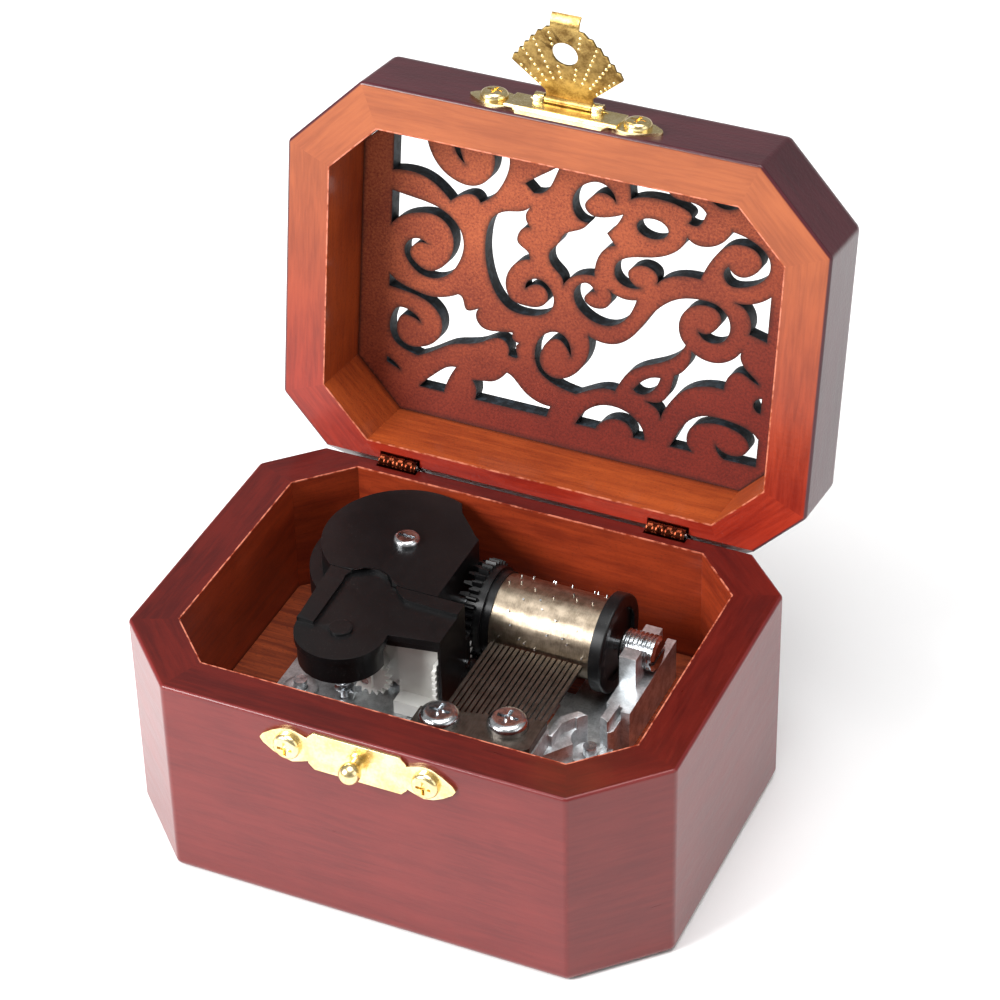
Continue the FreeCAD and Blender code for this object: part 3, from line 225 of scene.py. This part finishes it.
def woodFinish(name, along, ofLid=False):
    f = Finish(name, Coat_Weight=wood["coat"], Coat_Roughness=0.14, Coat_IOR=1.45, Specular_IOR_Level=0.28)
    shut = Matrix.Rotation(math.radians(box["lidOpenAngle"]), 3, "X") if ofLid else Matrix.Identity(3)
    shift = hingeAxis - shut @ hingeAxis - Vector((0, box["middleY"], 0))
    turn = (math.radians(box["lidOpenAngle"]), 0, 0) if ofLid else (0, 0, 0)
    at = f.mapped(f.own, scale=(1000, 1000, 1000), turn=turn, shift=shift)
    x, y, z = f.split(at)
    farX, farY = f.sum("ABSOLUTE", x), f.sum("ABSOLUTE", y)
    toSide = f.sum("SUBTRACT", box["halfX"], farX)
    toFront = f.sum("SUBTRACT", box["halfY"], farY)
    toChamfer = f.sum("MULTIPLY", f.sum("SUBTRACT", box["diagonal"], f.sum("ADD", farX, farY)), math.sqrt(0.5))
    depth = f.sum("MINIMUM", f.sum("MINIMUM", toSide, toFront), toChamfer)

    stretch = wood["grainStretch"]
    if along == "x":
        grainAt = f.joined(f.sum("MULTIPLY", x, stretch), y, z)
    elif along == "y":
        grainAt = f.joined(f.sum("MULTIPLY", y, stretch), x, z)
    else:
        run = f.sum("MULTIPLY", f.sum("SUBTRACT", farX, farY), stretch * math.sqrt(0.5))
        across = f.sum("MULTIPLY", f.sum("ADD", farX, farY), math.sqrt(0.5))
        side = f.sum("MULTIPLY_ADD", f.sum("SIGN", x), 37.0, f.sum("MULTIPLY", f.sum("SIGN", y), 91.0))
        grainAt = f.joined(run, f.sum("ADD", across, side), z)
    grain = f.noise(grainAt, 1.7, 5, 0.6, 0.4)
    broad = f.noise(grainAt, 0.28, 3, 0.5, 0.8)
    blotch = f.noise(at, 0.09, 3, 0.5)
    pores = f.step(f.noise(f.mapped(grainAt, scale=(4, 1, 1)), 5.5, 2, 0.6), 0.56, 0.68)

    share = f.sum("MULTIPLY_ADD", grain, 0.75, f.sum("MULTIPLY_ADD", broad, 0.6, f.sum("MULTIPLY", blotch, 0.5)))
    share = f.step(share, 0.62, 1.22)
    tones = {key: f.mix(share, tone(*pair[0]), tone(*pair[1])) for key, pair in wood.items()
             if isinstance(pair, tuple)}
    if ofLid:
        nearHinge = f.step(y, -34.0, 26.0)
        rim = f.mix(nearHinge, tones["lidRimFar"], tones["lidRimNear"])
        lidTop = box["rimZ"] + 0.2 + box["lidHeight"]
        outer = f.sum("MAXIMUM", f.step(depth, 0.25, 0.55, 1, 0), f.step(z, lidTop - 3.1, lidTop - 2.7))
        skin, inner = tones["lidOutside"], tones["lidInside"]
        low, high = lidTop - box["lidHeight"], lidTop - 2.6
    else:
        rim = tones["caseRim"]
        outer = f.step(depth, 0.25, 0.55, 1, 0)
        skin, inner = tones["outside"], tones["inside"]
        low, high = box["rimZ"], 14.2
    within = f.step(depth, box["wall"] - 0.22, box["wall"] - 0.06)
    speck = f.mix(f.sum("MULTIPLY", pores, 0.45), inner, tone(84, 30, 10))
    colour = f.mix(within, rim, speck)
    if ofLid:
        outer = f.sum("MULTIPLY", outer, f.sum("SUBTRACT", 1.0, within))
    colour = f.mix(outer, colour, skin)

    # a paler painted highlight along the inner arris of the rim, and painted shade darkening the inner corner where
    # the walls meet the board or panel
    onRim = f.sum("COMPARE", z, low, 0.16)
    onEdge = f.sum("COMPARE", depth, box["wall"] - 0.08, 0.13)
    # painted highlight: a pale pink line, broken up by noise, along the inner arris of the rim where its rounded
    # edge would glint
    arrisHighlight = f.sum("MULTIPLY", f.sum("MULTIPLY", onRim, onEdge), f.step(f.noise(at, 0.9, 3), 0.36, 0.6))
    colour = f.mix(f.sum("MULTIPLY", arrisHighlight, 0.55), colour, tone(226, 140, 112))
    # painted shade: the inside faces darken over 0.9 mm towards the inner corner where the walls meet the board or
    # panel
    jointShade = f.sum("MULTIPLY", f.step(f.sum("ABSOLUTE", f.sum("SUBTRACT", z, high)), 0.0, 0.9, 1, 0), within)
    colour = f.mix(f.sum("MULTIPLY", jointShade, 0.55), colour, tone(50, 14, 8))
    f.set("Base Color", colour)

    smooth = f.sum("MULTIPLY_ADD", grain, 0.14, 0.24)
    f.set("Roughness", f.sum("MULTIPLY_ADD", within, 0.18, smooth))
    peel = f.noise(at, 1.5 if ofLid else 0.9, 2, 0.5)
    relief = f.bump(peel, 0.25 if ofLid else 0.12, 0.12)
    f.bump(f.sum("SUBTRACT", grain, f.sum("MULTIPLY", pores, 0.5)), 0.16, 0.05, relief)
    return f.material


# the cut-out panel: rubbed brown stain on the faces, charred where it was cut
panel = {
    "stain": ((118, 46, 30), (182, 96, 58)),
    "nearHinge": ((84, 24, 18), (118, 38, 26)),
    "char": ((12, 16, 22), (62, 74, 84)),
    "haloMm": 0.5,
    "haloSpread": 0.6,         # how unevenly the scorch runs, as a share of its width
    "grid": 0.8,
    "halfLength": 35.5,
    "halfWidth": 25.5,
}


def panelFinish(name):
    f = Finish(name, Specular_IOR_Level=0.3)
    shut = Matrix.Rotation(math.radians(box["lidOpenAngle"]), 3, "X")
    shift = hingeAxis - shut @ hingeAxis - Vector((0, box["middleY"], 0))
    at = f.mapped(f.own, scale=(1000, 1000, 1000), turn=(math.radians(box["lidOpenAngle"]), 0, 0), shift=shift)
    x, y, z = f.split(at)
    fuzz = f.noise(at, 2.6, 4, 0.7)
    broad = f.noise(at, 0.12, 3, 0.55)
    share = f.step(f.sum("MULTIPLY_ADD", broad, 0.45, fuzz), 0.45, 1.0)
    light = f.mix(share, tone(*panel["stain"][0]), tone(*panel["stain"][1]))
    dark = f.mix(share, tone(*panel["nearHinge"][0]), tone(*panel["nearHinge"][1]))
    fade = f.step(f.sum("MULTIPLY_ADD", x, 0.4, y), -24.0, 24.0)
    colour = f.mix(fade, light, dark)
    specks = f.step(f.noise(at, 4.2, 2, 0.5), 0.6, 0.72)
    colour = f.mix(f.sum("MULTIPLY", specks, 0.5), colour, tone(70, 22, 14))
    halo = f.add("ShaderNodeAttribute", attribute_name="char").outputs["Fac"]
    colour = f.mix(f.sum("MULTIPLY", halo, 0.8), colour, tone(34, 18, 16))
    f.set("Base Color", colour)
    f.set("Roughness", f.sum("MULTIPLY_ADD", fuzz, 0.2, 0.52))
    f.bump(fuzz, 0.35, 0.1)
    return f.material


def charFinish(name):
    f = Finish(name, Specular_IOR_Level=0.35)
    lines = f.noise(f.mapped(f.place, scale=(1.6, 0.5, 1.6)), 1.8, 4, 0.6)
    ash = f.step(f.noise(f.place, 0.9, 3), 0.42, 0.7)
    share = f.sum("MULTIPLY", ash, lines)
    f.set("Base Color", f.mix(share, tone(*panel["char"][0]), tone(*panel["char"][1])))
    f.set("Roughness", f.sum("MULTIPLY_ADD", lines, 0.3, 0.45))
    f.bump(lines, 0.5, 0.08)
    return f.material


def boardFinish(name):
    f = Finish(name, Specular_IOR_Level=0.3, Coat_Weight=0.15, Coat_Roughness=0.3)
    x, y, z = f.split(f.place)
    grainAt = f.joined(f.sum("MULTIPLY", x, 0.06), y, z)
    grain = f.noise(grainAt, 1.4, 5, 0.6, 0.5)
    pores = f.step(f.noise(f.mapped(grainAt, scale=(5, 1, 1)), 5.0, 2), 0.55, 0.68)
    colour = f.mix(f.step(grain, 0.3, 0.7), tone(96, 34, 14), tone(150, 66, 30))
    colour = f.mix(f.sum("MULTIPLY", pores, 0.5), colour, tone(60, 20, 8))
    f.set("Base Color", colour)
    f.set("Roughness", f.sum("MULTIPLY_ADD", grain, 0.2, 0.45))
    f.bump(f.sum("SUBTRACT", grain, pores), 0.2, 0.06)
    return f.material


metals = {
    "brass": {"tones": ((222, 196, 132), (248, 230, 180)), "rough": (0.18, 0.32), "size": 0.35, "bump": 0.03},
    # the flap's brass, darkened to paint in the dark reflection on its face
    "flapBrassDarkReflection": {"tones": ((116, 88, 46), (190, 160, 96)), "rough": (0.24, 0.4), "size": 0.6, "bump": 0.08},
    "bronze": {"tones": ((58, 19, 11), (128, 62, 38)), "rough": (0.16, 0.3), "size": 0.9, "bump": 0.06},
    "steel": {"tones": ((150, 154, 158), (226, 228, 230)), "rough": (0.14, 0.3), "size": 0.8, "bump": 0.05},
    "zinc": {"tones": ((176, 180, 182), (226, 229, 231)), "rough": (0.36, 0.52), "size": 0.55, "bump": 0.07},
    "comb": {"tones": ((82, 75, 68), (108, 100, 93)), "rough": (0.34, 0.48), "size": 0.5, "bump": 0.05},
    "tube": {"tones": ((122, 110, 94), (170, 156, 137)), "rough": (0.26, 0.4), "size": 0.7, "bump": 0.08},
    "spring": {"tones": ((60, 66, 84), (140, 146, 158)), "rough": (0.2, 0.35), "size": 0.6, "bump": 0.05},
}


def metalFinish(name, kind, streak=(1, 1, 1), rings=0.0):
    given = metals[kind]
    f = Finish(name, Metallic=1.0)
    drawn = f.mapped(f.place, scale=streak)
    scratches = f.noise(drawn, given["size"] * 6, 3, 0.65)
    tarnish = f.noise(f.place, given["size"], 4, 0.6)
    share = f.step(f.sum("MULTIPLY_ADD", scratches, 0.5, tarnish), 0.5, 1.0)
    f.set("Base Color", f.mix(share, tone(*given["tones"][0]), tone(*given["tones"][1])))
    low, high = given["rough"]
    f.set("Roughness", f.sum("MULTIPLY_ADD", scratches, high - low, low))
    relief = f.bump(scratches, given["bump"], 0.1)
    if rings:
        x = f.split(f.place)[0]
        wave = f.sum("SINE", f.sum("MULTIPLY", x, 2 * math.pi / rings))
        f.bump(f.sum("MULTIPLY_ADD", wave, 0.5, 0.5), 0.7, 0.3, relief)
    return f.material


plastics = {
    "black": {"tones": ((7, 7, 8), (17, 17, 18)), "rough": (0.24, 0.4), "bump": 0.07, "specular": 0.26},
    "white": {"tones": ((206, 206, 200), (236, 236, 232)), "rough": (0.35, 0.5), "bump": 0.06, "specular": 0.5},
}


def plasticFinish(name, kind):
    given = plastics[kind]
    f = Finish(name, Specular_IOR_Level=given["specular"])
    skin = f.noise(f.place, 3.5, 3, 0.6)
    dust = f.step(f.noise(f.place, 7.0, 1), 0.71, 0.76)
    colour = f.mix(f.noise(f.place, 0.2, 3), tone(*given["tones"][0]), tone(*given["tones"][1]))
    f.set("Base Color", f.mix(f.sum("MULTIPLY", dust, 0.18), colour, tone(150, 146, 140)))
    low, high = given["rough"]
    f.set("Roughness", f.sum("MULTIPLY_ADD", f.noise(f.place, 0.6, 3), high - low, low))
    f.bump(skin, given["bump"], 0.05)
    return f.material


finishes = {
    "caseX": woodFinish("lacquered_wood_long", "x"),
    "caseY": woodFinish("lacquered_wood_side", "y"),
    "caseCorner": woodFinish("lacquered_wood_corner", "corner"),
    "lidX": woodFinish("lid_wood_long", "x", True),
    "lidY": woodFinish("lid_wood_side", "y", True),
    "lidCorner": woodFinish("lid_wood_corner", "corner", True),
    "board": boardFinish("board_wood"),
    "panel": panelFinish("panel_stain"),
    "char": charFinish("charred_edge"),
    "brass": metalFinish("polished_brass", "brass"),
    # brass darkened to paint the dark reflection on the flap's face
    "flapBrassDarkReflection": metalFinish("flap_brass_painted_dark_reflection", "flapBrassDarkReflection"),
    "bronze": metalFinish("lacquered_bronze", "bronze", rings=1.5),
    "steel": metalFinish("screw_steel", "steel"),
    "zinc": metalFinish("zinc_casting", "zinc"),
    "comb": metalFinish("ground_comb_steel", "comb", streak=(2.5, 0.2, 1)),
    "tube": metalFinish("brushed_tube", "tube", streak=(3.0, 0.25, 0.25)),
    "spring": metalFinish("blued_spring", "spring"),
    "black": plasticFinish("black_plastic", "black"),
    "white": plasticFinish("white_nylon", "white"),
}
print("finishes made")

# the finish of every CAD node, with those that a detailed piece stands for
nodeFinish = {
    "case_front_wall": "caseX", "case_back_wall": "caseX", "case_right_wall": "caseY", "case_left_wall": "caseY",
    "case_corner_walls": "caseCorner", "floor_board": "board", "lid_front_rail": "lidX", "lid_back_rail": "lidX",
    "lid_right_rail": "lidY", "lid_left_rail": "lidY", "lid_corner_rails": "lidCorner", "fret_panel": "panel",
    "hinge_case_leaves": "bronze", "hinge_lid_leaves": "bronze", "hinge_pins": "steel", "hinge_case_nails": "brass",
    "hinge_lid_nails": "brass", "strike_plate": "brass", "strike_screws": "brass", "strike_knob": "brass",
    "hasp_plate": "brass", "hasp_pin": "brass", "hasp_screws": "brass", "hasp_flap": "flapBrassDarkReflection",
    "base_frame": "zinc", "movement_screws": "steel", "comb": "comb", "comb_screws": "steel",
    "bearing_screw": "steel", "spring_cover": "black", "spring_cover_screw": "steel", "governor_cover": "black",
    "governor_frame": "white", "barrel_gear": "black", "spring_barrel": "zinc", "barrel_lid": "zinc",
    "mainspring": "spring", "winding_arbor": "steel", "winding_key": "steel", "cylinder_gear": "black",
    "cylinder_tube": "tube", "cylinder_end_cap": "black", "cylinder_axle": "steel", "cylinder_pins": "steel",
    "transfer_wheel": "white", "transfer_arbor": "steel", "worm_wheel": "white", "worm_wheel_arbor": "steel",
    "governor_worm": "steel", "governor_fly": "black",
}


def dress(thing, key):
    thing.data.materials.clear()
    thing.data.materials.append(finishes[key])


for node, key in nodeFinish.items():
    dress(frame["nodes"][node], key)
print("CAD nodes finished")


# new pieces: each starts as a bmesh, takes its finishes, and rides on the body of what it stands for
nodeBody = {node: body for body, nodes in frame["record"]["behaviour"]["bodies"].items() for node in nodes}
nodeSlot = {part["node"]: part["material_slot"] for part in frame["record"]["subparts"]}


def settle(mesh, name, keys, body, slotName, *standsFor):
    data = bpy.data.meshes.new(name)
    mesh.to_mesh(data)
    mesh.free()
    piece = bpy.data.objects.new(name, data)
    scene.collection.objects.link(piece)
    for key in keys:
        data.materials.append(finishes[key])
    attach(piece, body)
    if standsFor:
        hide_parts(*standsFor)
    return piece


def cadCopy(node):
    mesh = bmesh.new()
    mesh.from_mesh(frame["nodes"][node].data)
    bmesh.ops.remove_doubles(mesh, verts=mesh.verts, dist=2e-7)
    return mesh


# stamped and moulded pieces with their arrises eased: piece name, CAD node, easing in mm, finish
eased = (
    ("strikePlateStamped", "strike_plate", 0.16, "brass"),
    ("haspPlateStamped", "hasp_plate", 0.14, "brass"),
    ("haspFlapStamped", "hasp_flap", 0.1, "flapBrassDarkReflection"),
    ("springCoverMoulded", "spring_cover", 0.32, "black"),
    ("governorCoverMoulded", "governor_cover", 0.3, "black"),
    ("endCapMoulded", "cylinder_end_cap", 0.12, "black"),
    ("combGround", "comb", 0.05, "comb"),
    ("baseCasting", "base_frame", 0.2, "zinc"),
)
easing = {"flatAngle": 0.8, "hardAngle": 35.0, "creaseAngle": 38.0, "segments": 2}


def easeEdges(mesh, width):
    bmesh.ops.dissolve_limit(mesh, angle_limit=math.radians(easing["flatAngle"]), verts=mesh.verts, edges=mesh.edges)
    hardAngle, creaseAngle = math.radians(easing["hardAngle"]), math.radians(easing["creaseAngle"])
    hard = [e for e in mesh.edges if len(e.link_faces) == 2 and e.calc_face_angle() > hardAngle]
    bmesh.ops.bevel(mesh, geom=hard, offset=width * mm, offset_type="OFFSET", segments=easing["segments"],
                    profile=0.5, affect="EDGES", clamp_overlap=True, material=-1)
    bmesh.ops.triangulate(mesh, faces=[f for f in mesh.faces if len(f.verts) > 4])
    for face in mesh.faces:
        face.smooth = True
    for edge in mesh.edges:
        edge.smooth = len(edge.link_faces) != 2 or edge.calc_face_angle() < creaseAngle


for name, node, width, key in eased:
    mesh = cadCopy(node)
    easeEdges(mesh, width)
    piece = settle(mesh, name, (key,), nodeBody[node], nodeSlot[node], node)
    piece.modifiers.new("flatter faces", "WEIGHTED_NORMAL").keep_sharp = True
print("eased pieces made")


# the fretwork: the CAD panel cut into a fine grid, so that the scorch round each opening can fade out
def makeFretwork():
    mesh = cadCopy("fret_panel")
    turn = Matrix.Rotation(math.radians(box["lidOpenAngle"]), 4, "X")
    shut = Matrix.Translation(hingeAxis * mm) @ turn @ Matrix.Translation(-hingeAxis * mm)
    bmesh.ops.transform(mesh, matrix=shut, verts=mesh.verts)
    directions = ((Vector((1, 0, 0)), panel["halfLength"], 0.0),
                  (Vector((0, 1, 0)), panel["halfWidth"], box["middleY"]))
    for axis, reach, middle in directions:
        at = -reach
        while at < reach:
            bmesh.ops.bisect_plane(mesh, geom=mesh.verts[:] + mesh.edges[:] + mesh.faces[:], dist=1e-8,
                                   plane_co=axis * (middle + at) * mm, plane_no=axis)
            at += panel["grid"]
    walls = [f for f in mesh.faces if abs(f.normal.z) < 0.5]
    rimPoints = [v.co.copy() for v in {v for f in walls for v in f.verts}]
    nearest = KDTree(len(rimPoints))
    for index, point in enumerate(rimPoints):
        nearest.insert(point, index)
    nearest.balance()
    scorch = mesh.verts.layers.float.new("char")
    for v in mesh.verts:
        reach = panel["haloMm"] * (1.0 + panel["haloSpread"] * noise.noise(v.co * 300.0))
        away = nearest.find(v.co)[2] / mm
        v[scorch] = max(0.0, 1.0 - away / reach)
    for face in mesh.faces:
        face.material_index = 1 if abs(face.normal.z) < 0.5 else 0
    bmesh.ops.transform(mesh, matrix=shut.inverted(), verts=mesh.verts)
    settle(mesh, "fretwork", ("panel", "char"), "lid", "fret_wood", "fret_panel")


makeFretwork()
print("fretwork made")

# rows of raised beads pressed into the flap
beads = {
    "radius": 0.3,
    "height": 0.75,            # share of the radius that a bead is flattened to
    "pitch": 0.95,
    "angles": (46, 34, 22, 10, -10, -22, -34, -46),
    "apex": -1.7,              # where the rows would meet, down the flap from its pin
    "start": 6.0,
    "shortRow": 10.6,
    "longRowExtra": 3.3,
    "depth": 0.18,
    "holeAt": 8.4,
    "holeReach": 2.45,
    "flapOpenAngle": 73.0,
}


def makeBeads():
    mesh = bmesh.new()
    turn = Matrix.Rotation(-math.radians(box["lidOpenAngle"] + beads["flapOpenAngle"]), 4, "X")
    widest, narrowest = max(beads["angles"]), min(abs(angle) for angle in beads["angles"])
    for angle in beads["angles"]:
        a = math.radians(angle)
        reach = beads["start"]
        last = beads["shortRow"] + (widest - abs(angle)) / (widest - narrowest) * beads["longRowExtra"]
        while reach < last:
            x, s = reach * math.sin(a), beads["apex"] + reach * math.cos(a)
            reach += beads["pitch"]
            if math.hypot(x, s - beads["holeAt"]) < beads["holeReach"]:
                continue
            place = haspAxis + (turn @ Vector((x, -beads["depth"], -s)))
            fit = Matrix.Translation(place * mm) @ turn @ Matrix.Diagonal((1, beads["height"], 1, 1))
            bmesh.ops.create_icosphere(mesh, subdivisions=2, radius=beads["radius"] * mm, matrix=fit)
    for face in mesh.faces:
        face.smooth = True
    settle(mesh, "flapBeads", ("brass",), "hasp", "brass_plate")


makeBeads()
print("beads made")

# painted shade: a black strip low in the hinge-side bevel, standing in for the shade in the gap of the open lid and
# keeping light from showing through it
hingeGapShadeStrip = {
    "runs": ((-30.0, -25.8), (-18.6, 17.6), (24.8, 30.0)),
    "down": 3.0,
    "sunk": 0.12,
    "width": 2.6,
    "thick": 0.42,
    "easing": 0.12,
}


def makeHingeGapShadeStrip():
    mesh = bmesh.new()
    tilt = math.radians(box["lidOpenAngle"] / 2)
    out = Vector((0, math.sin(tilt), math.cos(tilt)))
    down = Vector((0, math.cos(tilt), -math.sin(tilt)))
    frameTurn = Matrix((Vector((1, 0, 0)), down, out)).transposed().to_4x4()
    for start, end in hingeGapShadeStrip["runs"]:
        place = hingeAxis + down * hingeGapShadeStrip["down"] - out * hingeGapShadeStrip["sunk"]
        place.x = (start + end) / 2
        size = Matrix.Diagonal((end - start, hingeGapShadeStrip["width"], hingeGapShadeStrip["thick"], 1))
        bmesh.ops.create_cube(mesh, size=mm, matrix=Matrix.Translation(place * mm) @ frameTurn @ size)
    bmesh.ops.recalc_face_normals(mesh, faces=mesh.faces)
    bmesh.ops.bevel(mesh, geom=mesh.edges[:], offset=hingeGapShadeStrip["easing"] * mm, segments=2, profile=0.5,
                    affect="EDGES", material=-1)
    # the strip takes the black finish to paint the shade in the hinge gap
    settle(mesh, "hingeGapPaintedShade", ("black",), "case", "stained_wood")


makeHingeGapShadeStrip()
print("hinge gap painted shade made")

# studio: pale floor, soft boxes and a pale room
studio = {
    "floorSize": 6.0,
    "floorTone": (246, 246, 246),
    "room": 0.34,
    "lamps": (
        # name, place, aim, size, watts
        ("key", (-0.56, -0.66, 0.6), (0.0, 0.0, 0.04), 0.5, 17.0),
        ("top", (0.1, -0.05, 0.95), (0.0, 0.0, 0.03), 0.7, 8.0),
        ("right", (0.75, -0.1, 0.35), (0.0, 0.0, 0.04), 0.5, 1.2),
    ),
}


def makeStudio():
    mesh = bmesh.new()
    bmesh.ops.create_grid(mesh, x_segments=2, y_segments=2, size=studio["floorSize"] / 2)
    data = bpy.data.meshes.new("floor")
    mesh.to_mesh(data)
    mesh.free()
    floor = bpy.data.objects.new("floor", data)
    scene.collection.objects.link(floor)
    f = Finish("pale_floor", Roughness=0.7)
    f.set("Base Color", f.mix(f.noise(f.place, 0.01, 2), tone(*studio["floorTone"]), tone(250, 250, 250)))
    floor.data.materials.append(f.material)
    world = bpy.data.worlds.new("room")
    world.use_nodes = True
    world.node_tree.nodes["Background"].inputs["Color"].default_value = (1.0, 1.0, 1.0, 1.0)
    world.node_tree.nodes["Background"].inputs["Strength"].default_value = studio["room"]
    scene.world = world
    for name, place, aim, size, watts in studio["lamps"]:
        data = bpy.data.lights.new(name, "AREA")
        data.shape = "SQUARE"
        data.size = size
        data.energy = watts
        lamp = bpy.data.objects.new(name, data)
        toward = Vector(aim) - Vector(place)
        lamp.matrix_world = Matrix.Translation(place) @ toward.to_track_quat("-Z", "Y").to_matrix().to_4x4()
        scene.collection.objects.link(lamp)


makeStudio()
print("studio set")
